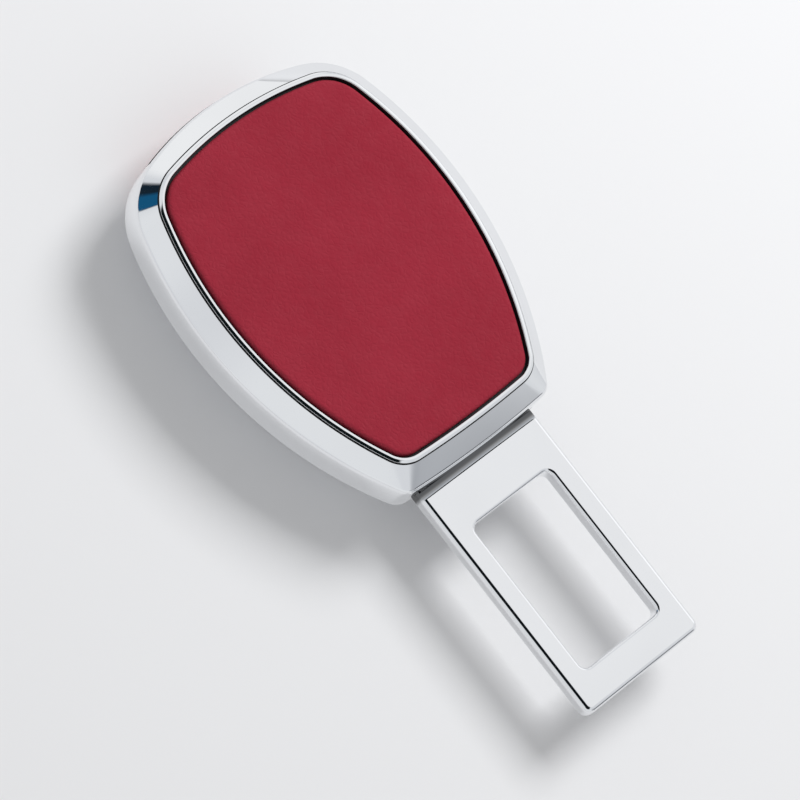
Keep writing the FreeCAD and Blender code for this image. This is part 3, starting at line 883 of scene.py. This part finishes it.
def place(piece: Object, material: Material, body: Body, slot: str, *nodes: str) -> None:
    """Dresses a piece and ties it to the frame.

    Args:
        piece: the object.
        material: its finish.
        body: body that it rides on.
        slot: the record's material slot; not used.
        nodes: CAD nodes that it stands for.
    """
    piece.data.materials.clear()
    piece.data.materials.append(material)
    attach(piece, body.value)
    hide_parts(*nodes)
    log.info("%s: %d faces on %s", piece.name, len(piece.data.polygons), body.value)


# Sub-assemblies

TONGUE_SLOT = {"x": (28.9, 50.0), "half_y": 12.6, "z": (7.15, 10.85), "round_x": 0.75}
GUIDE_HOLE = {"x": (-50.0, -21.0), "half_y": 14.35, "z": (6.5, 11.9)}
THROUGH = (-1.0, 20.0)

# For each screw its x, its y and the level at which its pillar stands on its boss
SCREWS = ((-6.0, 18.6, 8.2), (-6.0, -18.6, 8.2), (22.0, 8.0, 7.5), (22.0, -8.0, 7.5))


@dataclass
class Casing:
    """Front and back shells: plated mouldings with a bead round each leather panel.

    Levels are named after what lies there, and radii and half-widths after what they are of.
    """

    finishes: Finishes
    wall: float = 1.5
    parting: float = 8.2
    shoulder: float = 13.5
    bezel_top: float = 15.95
    bead_foot: float = 16.3
    bead_draft: float = 0.02
    channel: float = 0.17
    channel_depth: float = 0.12
    bead_crest: float = 16.5
    crest_width: float = 0.43
    bead_width: float = 1.05
    gap: float = 0.2
    opening: float = 0.42
    wall_profile: tuple[Span, ...] = ((0.0, 9.6), (-0.03, 10.9), (-0.11, 12.1))
    wall_top: float = -0.24
    front_floor: float = 15.3
    front_deck: float = 14.3
    deck_fall: float = 1.0
    front_rounding: tuple[tuple[float, int], ...] = ((0.28, 3), (0.5, 6), (0.025, 1), (0.07, 3), (0.09, 3))
    step: float = 0.35
    lip: float = 7.5
    back_rim: float = 0.7
    back_bead: float = 0.25
    back_draft: float = 0.08
    back_floor: float = 1.4
    back_deck: float = 2.4
    back_inset: float = 0.6
    back_rounding: tuple[float, int] = (0.3, 4)
    overlap: float = 0.5
    pillar: float = 2.4
    boss: float = 2.6
    clamp: float = 3.4
    screw_hole: float = 1.3
    screw_end: float = 12.05
    screw_head: float = 2.25
    head_depth: float = 1.5
    frame_top: float = 12.0
    rib_x: Span = (-19.0, 8.0)
    rib_y: float = 9.15
    rib: float = 0.75
    stop_x: Span = (-12.9, -12.1)
    stop_y: float = 10.4
    stop: float = 1.0
    stop_top: float = 5.6
    stud_x: float = -3.5
    stud: float = 1.6
    stud_rise: float = 0.8
    button_x: Span = (-50.0, -24.0)
    button: float = 12.9
    button_top: float = 6.6
    level_slack: float = 0.03
    facing_up: float = 0.9
    upright: float = 0.1

    def front(self) -> Object:
        """Builds the front shell.

        Returns:
            The shell with its slot, mouth and pillars.
        """
        skin = Skin()
        bead = self.gap + self.bead_width
        bed = self.bezel_top - self.channel_depth
        skin.add(HEAD, -self.wall, self.parting)
        foot = skin.add(HEAD, 0, self.parting)
        for grow, level in self.wall_profile:
            skin.add(HEAD, grow, level)
        shoulder = skin.add(HEAD, self.wall_top, self.shoulder)
        skin.add(PANEL, bead + self.channel, self.bezel_top)
        skin.add(PANEL, bead + self.channel, bed)
        skin.add(PANEL, bead, bed)
        outer = skin.add(PANEL, bead - self.bead_draft, self.bead_foot)
        crest = skin.add(PANEL, self.opening + self.crest_width, self.bead_crest)
        inner = skin.add(PANEL, self.opening, self.bead_crest)
        skin.cap(skin.add(PANEL, self.opening, self.front_floor))
        skin.span(0, skin.add(HEAD, -self.wall, self.front_deck - self.deck_fall, joined=False))
        skin.cap(skin.add(PANEL, -self.wall, self.front_deck))
        for ring, rounding in zip((foot, shoulder, outer, crest, inner), self.front_rounding):
            skin.round_off(ring, *rounding)
        shell = finish(skin.bm, "front_shell_plated")
        root = self.front_floor - self.overlap
        for x, y, top in SCREWS:
            unite(shell, post(x, y, self.pillar, (top, root)))
            if x > 0:
                unite(shell, post(x, y, self.clamp, (self.frame_top, root)))
            cut(shell, post(x, y, self.screw_hole, (0.0, self.screw_end)))
        for side in (1, -1):
            unite(shell, block(self.rib_x, self.rib, (self.frame_top, root), middle_y=side * self.rib_y))
        self.open_up(shell)
        return shell

    def back(self) -> Object:
        """Builds the back shell.

        Returns:
            The shell with its slot, mouth and bosses.
        """
        skin = Skin()
        rim = self.gap + self.bead_width - self.back_inset
        skin.add(HEAD, -self.step - self.wall, self.parting)
        skin.add(HEAD, -self.step, self.parting)
        lip = skin.add(HEAD, -self.step, self.lip)
        skin.add(PANEL, rim, self.back_rim)
        outer = skin.add(PANEL, rim - self.back_draft, self.back_bead)
        inner = skin.add(PANEL, self.gap - self.back_inset, self.back_bead)
        skin.cap(skin.add(PANEL, self.gap - self.back_inset, self.back_floor))
        skin.span(0, skin.add(HEAD, -self.step - self.wall, self.lip, joined=False))
        skin.cap(skin.add(PANEL, self.bead_width - self.back_inset - self.wall, self.back_deck))
        for ring in (lip, outer, inner):
            skin.round_off(ring, *self.back_rounding)
        shell = finish(skin.bm, "back_shell_plated")
        root = self.back_floor + self.overlap
        for x, y, top in SCREWS:
            unite(shell, post(x, y, self.clamp if x > 0 else self.boss, (root, top)))
            cut(shell, post(x, y, self.screw_hole, THROUGH),
                post(x, y, self.screw_head, (0.0, self.back_floor + self.head_depth)))
        for side in (1, -1):
            unite(shell, block(self.stop_x, self.stop, (root, self.stop_top), middle_y=side * self.stop_y))
        unite(shell, post(self.stud_x, 0.0, self.stud, (root, self.back_deck + self.stud_rise)))
        self.open_up(shell)
        cut(shell, block(self.button_x, self.button, (self.back_deck, self.button_top)))
        even_normals(shell)
        return shell

    def open_up(self, shell: Object) -> None:
        """Cuts the tongue's slot and the socket's mouth in a shell."""
        cut(shell, block(**TONGUE_SLOT), block(**GUIDE_HOLE))
        even_normals(shell)

    def paint_gap_shade(self, shell: Object) -> None:
        """Paints shade into the leather's pocket and the channel round the bead: their faces take the black
        material.
        """
        # Painted shade: faces on the pocket's floor and walls and in the channel turn black, standing in for
        # the shade in these narrow gaps.
        shell.data.materials.append(self.finishes.black)
        bed = self.bezel_top - self.channel_depth
        for face in shell.data.polygons:
            level = face.center.z / MM
            inward = face.normal.x * face.center.x + face.normal.y * face.center.y < 0
            on_floor = min(abs(level - self.front_floor), abs(level - bed)) < self.level_slack
            in_pocket = inward and self.front_floor < level < self.bead_crest
            flat = face.normal.z > self.facing_up and on_floor
            steep = abs(face.normal.z) < self.upright and (in_pocket or bed < level < self.bead_foot)
            if flat or steep:
                face.material_index = 1

    def build(self) -> None:
        """Builds and dresses both shells."""
        front = self.front()
        place(front, self.finishes.shell, Body.HEAD, "chrome_shell", "front_shell")
        self.paint_gap_shade(front)
        place(self.back(), self.finishes.shell, Body.HEAD, "chrome_shell", "back_shell")


@dataclass
class Panel:
    """Leather skins on their core plates, front and back."""

    finishes: Finishes
    front_floor: float = 15.3
    roll: float = 0.72
    roll_steps: int = 7
    wrap: float = 0.7
    thickness: float = 1.4
    edge_drop: float = 0.14
    crown: tuple[Span, ...] = ((0.965, 0.09), (0.92, 0.045), (0.82, 0.015), (0.6, 0.0))
    core_height: float = 0.55
    back_inset: float = 0.6

    def skin(self, name: str, inset: float) -> Object:
        """Builds a leather skin that lies on z = 0 with its face up.

        Args:
            name: name of the piece.
            inset: how far its edge lies inside the front panel's outline.

        Returns:
            The skin.
        """
        hide = Skin()
        core = -inset - self.wrap
        hide.add(PANEL, core, 0.0)
        hide.add(PANEL, -inset, 0.0)
        edge = hide.add(PANEL, -inset, self.thickness - self.edge_drop)
        for scale, drop in self.crown:
            top = hide.add(PANEL, -inset, self.thickness - drop, scale=scale)
        hide.cap(top)
        inside = hide.add(PANEL, core, self.core_height, joined=False)
        hide.span(0, inside)
        hide.cap(inside)
        hide.round_off(edge, self.roll, self.roll_steps)
        return finish(hide.bm, name, SKIN_CREASE)

    def build(self) -> None:
        """Builds both skins and dresses the plates under them."""
        front = self.skin("front_leather_skin", 0.0)
        front.data.transform(Matrix.Translation((0, 0, self.front_floor * MM)))
        place(front, self.finishes.leather, Body.HEAD, "red_leather", "front_leather")
        back = self.skin("back_leather_skin", self.back_inset)
        turned = Matrix.Translation((0, 0, self.thickness * MM)) @ Matrix.Rotation(math.pi, 4, "X")
        back.data.transform(turned)
        place(back, self.finishes.leather, Body.HEAD, "red_leather", "back_leather")
        for node in ("front_panel_core", "back_panel_core"):
            dress_node(node, self.finishes.core)


def dress_node(node: str, material: Material) -> None:
    """Gives a CAD node that stays a finish of its own."""
    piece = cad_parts[node]
    piece.data.materials.clear()
    piece.data.materials.append(material)
    log.info("%s: kept from the CAD", node)


@dataclass
class Tongue:
    """Plated tongue with its window, root grooves, and pairs of fixing holes by x, y and radius."""

    finishes: Finishes
    plate: Slab = Slab(x0=9.0, x1=75.4, half_width=12.25, corner=1.5)
    window: Slab = Slab(x0=42.0, x1=69.6, half_width=8.2, corner=1.3)
    top: float = 10.5
    bottom: float = 7.5
    edge: float = 0.85
    window_edge: float = 0.6
    groove_x: float = 33.9
    groove_width: float = 1.5
    groove_depth: float = 0.3
    groove_length: float = 30.0
    groove_sides: int = 96
    holes: tuple[Triple, ...] = ((14.0, 7.5, 2.0), (22.0, 8.0, 2.7))

    def grooves(self, plate: Object) -> None:
        """Cuts the hollow across both faces at the head's end."""
        radius = ((self.groove_width / 2) ** 2 + self.groove_depth ** 2) / (2 * self.groove_depth)
        lying = Matrix.Rotation(math.pi / 2, 4, "X")
        for level, out in ((self.top, 1), (self.bottom, -1)):
            bm = bmesh.new()
            spot = Matrix.Translation((self.groove_x, 0, level + out * (radius - self.groove_depth)))
            bmesh.ops.create_cone(bm, cap_ends=True, segments=self.groove_sides, radius1=radius,
                                  radius2=radius, depth=self.groove_length, matrix=spot @ lying)
            cut(plate, finish(bm, "tool"))

    def build(self) -> None:
        """Builds and dresses the tongue."""
        skin = Skin()
        top = skin.add(self.plate, 0, self.top)
        bottom = skin.add(self.plate, 0, self.bottom)
        low = skin.add(self.window, 0, self.bottom)
        high = skin.add(self.window, 0, self.top)
        skin.span(high, top)
        for rings, width in (((top, bottom), self.edge), ((low, high), self.window_edge)):
            for ring in rings:
                skin.round_off(ring, width, ROUND_STEPS)
        plate = finish(skin.bm, "tongue_plate_plated")
        self.grooves(plate)
        for x, y, radius in self.holes:
            cut(plate, post(x, y, radius, THROUGH), post(x, -y, radius, THROUGH))
        even_normals(plate)
        place(plate, self.finishes.tongue, Body.HEAD, "chrome_tongue", "tongue_plate")


@dataclass
class Coil:
    """Compression spring with closed ends.

    Outside and wire are radii. The turns count the closed one at each end, and the pitch of those two is in
    radii of the wire.
    """

    name: str
    node: str
    axis: Axis
    start: Vector
    length: float
    outside: float
    wire: float
    turns: int
    end_pitch: float = 2.05
    steps: int = 28
    wire_sides: int = 10

    def build(self, finishes: Finishes) -> Object:
        """Winds and dresses the spring.

        Args:
            finishes: the materials.

        Returns:
            The spring.
        """
        bm = upright_circle(self.wire, self.wire_sides)
        bmesh.ops.translate(bm, verts=bm.verts, vec=(self.outside - self.wire, 0, self.wire))
        end_rise = self.end_pitch * self.wire
        middle = self.length - 2 * self.wire - 2 * end_rise
        runs = ((1, end_rise), (self.turns - 2, middle), (1, end_rise))
        sweep(bm, (0, 0, 0), [(2 * math.pi * turns, rise, self.steps * turns) for turns, rise in runs])
        turn = Vector(UP).rotation_difference(Vector(self.axis.value)).to_matrix()
        bmesh.ops.rotate(bm, verts=bm.verts, cent=(0, 0, 0), matrix=turn)
        bmesh.ops.translate(bm, verts=bm.verts, vec=self.start)
        spring = finish(bm, self.name, COIL_CREASE)
        place(spring, finishes.wire, Body.HEAD, "spring_steel", self.node)
        return spring


@dataclass
class Mechanism:
    """Latch, ejector, release button, frame and the springs between them."""

    finishes: Finishes
    grip_levels: tuple[float, ...] = (3.6, 4.35, 5.1)
    grip_radius: float = 0.26
    grip_half_length: float = 7.0
    grip_sides: int = 16
    grip_steps: int = 20

    def cut_grip(self, cap: Object, casing: Casing) -> None:
        """Cuts finger grooves across the button's face.

        Args:
            cap: the button.
            casing: the shells whose far face the button continues.
        """
        top = HEAD.far_radius - casing.step
        low = PANEL.far_radius + casing.gap + casing.bead_width - casing.back_inset
        for level in self.grip_levels:
            share = (casing.lip - level) / (casing.lip - casing.back_rim)
            radius = top + share * (low - top)
            middles = [outline.far_radius - outline.length / 2 for outline in (HEAD, PANEL)]
            axis = (middles[0] + share * (middles[1] - middles[0]), 0, level)
            reach = math.asin(self.grip_half_length / radius)
            bm = upright_circle(self.grip_radius, self.grip_sides)
            bmesh.ops.translate(bm, verts=bm.verts, vec=(axis[0] - radius, 0, level))
            bmesh.ops.rotate(bm, verts=bm.verts, cent=axis, matrix=Matrix.Rotation(-reach, 3, "Z"))
            sweep(bm, axis, [(2 * reach, 0.0, self.grip_steps)])
            cut(cap, finish(bm, "tool"))
        even_normals(cap, SOFT_CREASE)

    def springs(self) -> None:
        """Winds the four springs."""
        ejector = Coil("ejector_spring_coil", "ejector_spring", Axis.X, Vector((-7.95, 0, 11.0)),
                       length=15.2, outside=1.9, wire=0.2, turns=9)
        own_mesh(ejector.build(self.finishes))
        for side, label in ((1, "left"), (-1, "right")):
            coil = Coil(f"button_spring_{label}_coil", f"button_spring_{label}", Axis.X,
                        Vector((-20.95, side * 10.4, 4.75)), length=8.0, outside=1.05, wire=0.15, turns=8)
            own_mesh(coil.build(self.finishes))
        lift = Coil("latch_spring_coil", "latch_spring", Axis.Z, Vector((-3.5, 0, 2.45)),
                    length=3.2, outside=2.5, wire=0.2, turns=4)
        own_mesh(lift.build(self.finishes))

    def build(self) -> None:
        """Builds and dresses the mechanism."""
        kit = self.finishes
        pieces = (
            ("mouth_guide", "mouth_guide_collar", 0.22, kit.black, Body.HEAD, "black_plastic"),
            ("release_button", "release_button_cap", 0.25, kit.button, Body.BUTTON, "button_red"),
            ("buckle_frame", "buckle_frame_pressing", 0.15, kit.frame, Body.HEAD, "frame_steel"),
            ("latch", "latch_plate", 0.15, kit.frame, Body.LATCH, "frame_steel"),
            ("latch_pin", "latch_pin_rivet", 0.15, kit.pin, Body.HEAD, "pin_steel"),
            ("ejector", "ejector_slider", 0.2, kit.ivory, Body.EJECTOR, "slider_plastic"),
            ("frame_rivet_left", "frame_rivet_left_head", 0.12, kit.pin, Body.HEAD, "frame_steel"),
            ("frame_rivet_right", "frame_rivet_right_head", 0.12, kit.pin, Body.HEAD, "frame_steel"),
        )
        for node, name, width, material, body, slot in pieces:
            piece = softened(node, name, width)
            if body is Body.BUTTON:
                self.cut_grip(piece, Casing(kit))
            place(piece, material, body, slot, node)
        for number in (1, 2, 3, 4):
            screw = softened(f"housing_screw_{number}", f"housing_screw_{number}_crosshead", 0.1)
            place(screw, kit.screw, Body.HEAD, "screw_steel", f"housing_screw_{number}")
        self.springs()


# Studio

@dataclass(frozen=True)
class Camera:
    """Camera that stands where the photograph was taken from."""

    tilt: float = math.radians(27.0)
    yaw: float = math.radians(3.44)
    roll: float = math.radians(53.63)
    distance: float = 717.0
    scale: float = 6.552
    aim: Triple = (0.5, 0.0, 10.5)
    aim_pixel: tuple[float, float] = (343.4, 282.6)
    image: float = 800.0

    def toward(self) -> Vector:
        """Direction from the object to the camera."""
        return Vector((math.cos(self.tilt) * math.sin(self.yaw), -math.sin(self.tilt),
                       math.cos(self.tilt) * math.cos(self.yaw)))

    def build(self) -> None:
        """Adds the camera and makes it the scene's own."""
        level = Vector((math.cos(self.yaw), 0, -math.sin(self.yaw)))
        upright = Vector((math.sin(self.tilt) * math.sin(self.yaw), math.cos(self.tilt),
                          math.sin(self.tilt) * math.cos(self.yaw)))
        right = math.cos(self.roll) * level + math.sin(self.roll) * upright
        down = math.sin(self.roll) * level - math.cos(self.roll) * upright
        shift = [(pixel - self.image / 2) / self.scale for pixel in self.aim_pixel]
        spot = Vector(self.aim) + self.toward() * self.distance - right * shift[0] - down * shift[1]
        data = bpy.data.cameras.new("camera")
        data.sensor_width = 36.0
        data.lens = self.scale * self.distance / self.image * data.sensor_width
        data.clip_start, data.clip_end = 0.05, 10.0
        camera = bpy.data.objects.new("camera", data)
        bpy.context.scene.collection.objects.link(camera)
        turn = Matrix((right, -down, self.toward())).transposed()
        camera.matrix_world = Matrix.Translation(spot * MM) @ turn.to_4x4()
        bpy.context.scene.camera = camera


@dataclass(frozen=True)
class Patch:
    """Round patch of colour in the surroundings that metal mirrors.

    Attributes:
        centre: direction of its middle.
        inner: angle in degrees within which it has its full colour.
        outer: angle in degrees beyond which it is gone.
        colour: its colour.
        ragged: how far its outline strays, as a share of the distance to it.
    """

    centre: Triple
    inner: float
    outer: float
    colour: Colour
    ragged: float = 0.0


@dataclass(frozen=True)
class Studio:
    """Pale floor, a soft lamp in metres and watts, and a light tent with a few dark gaps."""

    floor: Colour = (0.83, 0.835, 0.85)
    floor_reach: float = 1500.0
    floor_level: float = -0.04
    mirrored_floor: float = 0.36
    tent: Colour = (0.83, 0.845, 0.86)
    tent_dim: Colour = (0.74, 0.755, 0.78)
    tent_scale: float = 1.7
    ripple_scale: float = 3.5
    patches: tuple[Patch, ...] = (
        Patch((-0.03, 0.455, 0.89), 12.0, 22.0, (0.93, 0.935, 0.945)),
        Patch((-0.87, 0.46, 0.20), 18.0, 28.0, (0.96, 0.965, 0.97)),
        Patch((-0.10, 0.88, 0.46), 16.0, 24.0, (1.15, 1.16, 1.17)),
        Patch((0.93, 0.22, 0.30), 6.0, 21.0, (0.42, 0.435, 0.46)),
        Patch((0.88, 0.44, 0.06), 7.0, 15.0, (0.05, 0.055, 0.07)),
        Patch((0.0, -0.208, 0.978), 25.5, 31.5, (0.004, 0.007, 0.008)),
        Patch((-0.28, -0.30, 0.91), 13.0, 19.0, (0.004, 0.007, 0.008)),
        Patch((0.33, -0.40, 0.85), 19.0, 25.0, (0.004, 0.007, 0.008)),
        Patch((-0.89, -0.29, 0.33), 11.0, 18.0, (0.008, 0.018, 0.03), 0.16),
        Patch((-0.86, -0.36, 0.37), 1.0, 12.0, (0.008, 0.09, 0.20), 0.16),
    )
    fill: float = 0.52
    key_power: float = 3.9
    key_size: float = 0.34
    key_spot: Triple = (-0.10, 0.47, 0.58)

    def build(self) -> None:
        """Builds the floor, the world and the lamp."""
        self.build_floor()
        self.build_world()
        self.build_key()

    def build_floor(self) -> None:
        """Lays the floor under the object."""
        bm = bmesh.new()
        bmesh.ops.create_grid(bm, x_segments=1, y_segments=1, size=self.floor_reach)
        bmesh.ops.translate(bm, vec=(0, 0, self.floor_level), verts=bm.verts)
        floor = finish(bm, "floor")
        graph = Graph("floor_paper")
        graph.put(Base_Color=(*self.floor, 1.0), Roughness=0.8, Specular_IOR_Level=0.2)
        lit = graph.add("ShaderNodeEmission", color=(*self.floor, 1.0))
        path = graph.add("ShaderNodeLightPath")
        share = graph.add("ShaderNodeMath", operation="MULTIPLY")
        share.inputs[1].default_value = self.mirrored_floor
        graph.wire(path.outputs["Is Glossy Ray"], share.inputs[0])
        choice = graph.add("ShaderNodeMixShader")
        graph.wire(share.outputs["Value"], choice.inputs["Fac"])
        graph.wire(graph.shader.outputs["BSDF"], choice.inputs[1])
        graph.wire(lit.outputs["Emission"], choice.inputs[2])
        graph.wire(choice.outputs["Shader"], graph.output.inputs["Surface"])
        floor.data.materials.append(graph.material)

    def build_world(self) -> None:
        """Lights the scene evenly, and shows metal a tent with patches of colour."""
        world = bpy.data.worlds.new("tent")
        bpy.context.scene.world = world
        world.use_nodes = True
        sky = Tree(world.node_tree)
        around = sky.add("ShaderNodeTexCoord").outputs["Generated"]
        clouds = sky.spread(sky.noise(around, self.tent_scale, detail=1.0), start=0.35, end=0.65)
        colour = sky.mixed(clouds, self.tent_dim, self.tent)
        ripple = sky.add("ShaderNodeTexNoise", scale=self.ripple_scale, detail=2.0)
        sky.wire(around, ripple.inputs["Vector"])
        stray = sky.add("ShaderNodeVectorMath", operation="SUBTRACT")
        stray.inputs[1].default_value = (0.5, 0.5, 0.5)
        sky.wire(ripple.outputs["Color"], stray.inputs[0])
        for patch in self.patches:
            bent = sky.add("ShaderNodeVectorMath", operation="MULTIPLY_ADD")
            bent.inputs[1].default_value = (patch.ragged,) * 3
            sky.wire(stray.outputs["Vector"], bent.inputs[0])
            sky.wire(around, bent.inputs[2])
            near = sky.add("ShaderNodeVectorMath", operation="DOT_PRODUCT")
            near.inputs[1].default_value = Vector(patch.centre).normalized()
            sky.wire(bent.outputs["Vector"], near.inputs[0])
            rim, core = (math.cos(math.radians(angle)) for angle in (patch.outer, patch.inner))
            share = sky.spread(near.outputs["Value"], start=rim, end=core)
            colour = sky.mixed(share, colour, patch.colour)
        seen = sky.add("ShaderNodeBackground", strength=1.0)
        sky.wire(colour, seen.inputs["Color"])
        plain = sky.add("ShaderNodeBackground", color=(1.0, 1.0, 1.0, 1.0), strength=self.fill)
        choice = sky.add("ShaderNodeMixShader")
        sky.wire(sky.add("ShaderNodeLightPath").outputs["Is Glossy Ray"], choice.inputs["Fac"])
        sky.wire(plain.outputs["Background"], choice.inputs[1])
        sky.wire(seen.outputs["Background"], choice.inputs[2])
        sky.wire(choice.outputs["Shader"], sky.add("ShaderNodeOutputWorld").inputs["Surface"])

    def build_key(self) -> None:
        """Hangs a large soft lamp to the right of and behind the object."""
        data = bpy.data.lights.new("key", "AREA")
        data.shape = "RECTANGLE"
        data.size = data.size_y = self.key_size
        data.energy = self.key_power
        key = bpy.data.objects.new("key", data)
        spot = Vector(self.key_spot)
        key.matrix_world = Matrix.Translation(spot) @ spot.to_track_quat("Z", "Y").to_matrix().to_4x4()
        key.visible_glossy = False
        bpy.context.scene.collection.objects.link(key)


def main() -> None:
    """Builds the extender and its studio."""
    logging.basicConfig(level=logging.INFO, format="%(name)s: %(message)s")
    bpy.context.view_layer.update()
    Camera().build()
    Studio().build()
    finishes = Finishes()
    Casing(finishes).build()
    Panel(finishes).build()
    Tongue(finishes).build()
    Mechanism(finishes).build()
    bpy.context.scene.view_settings.view_transform = "Standard"


if __name__ == "__main__":
    main()
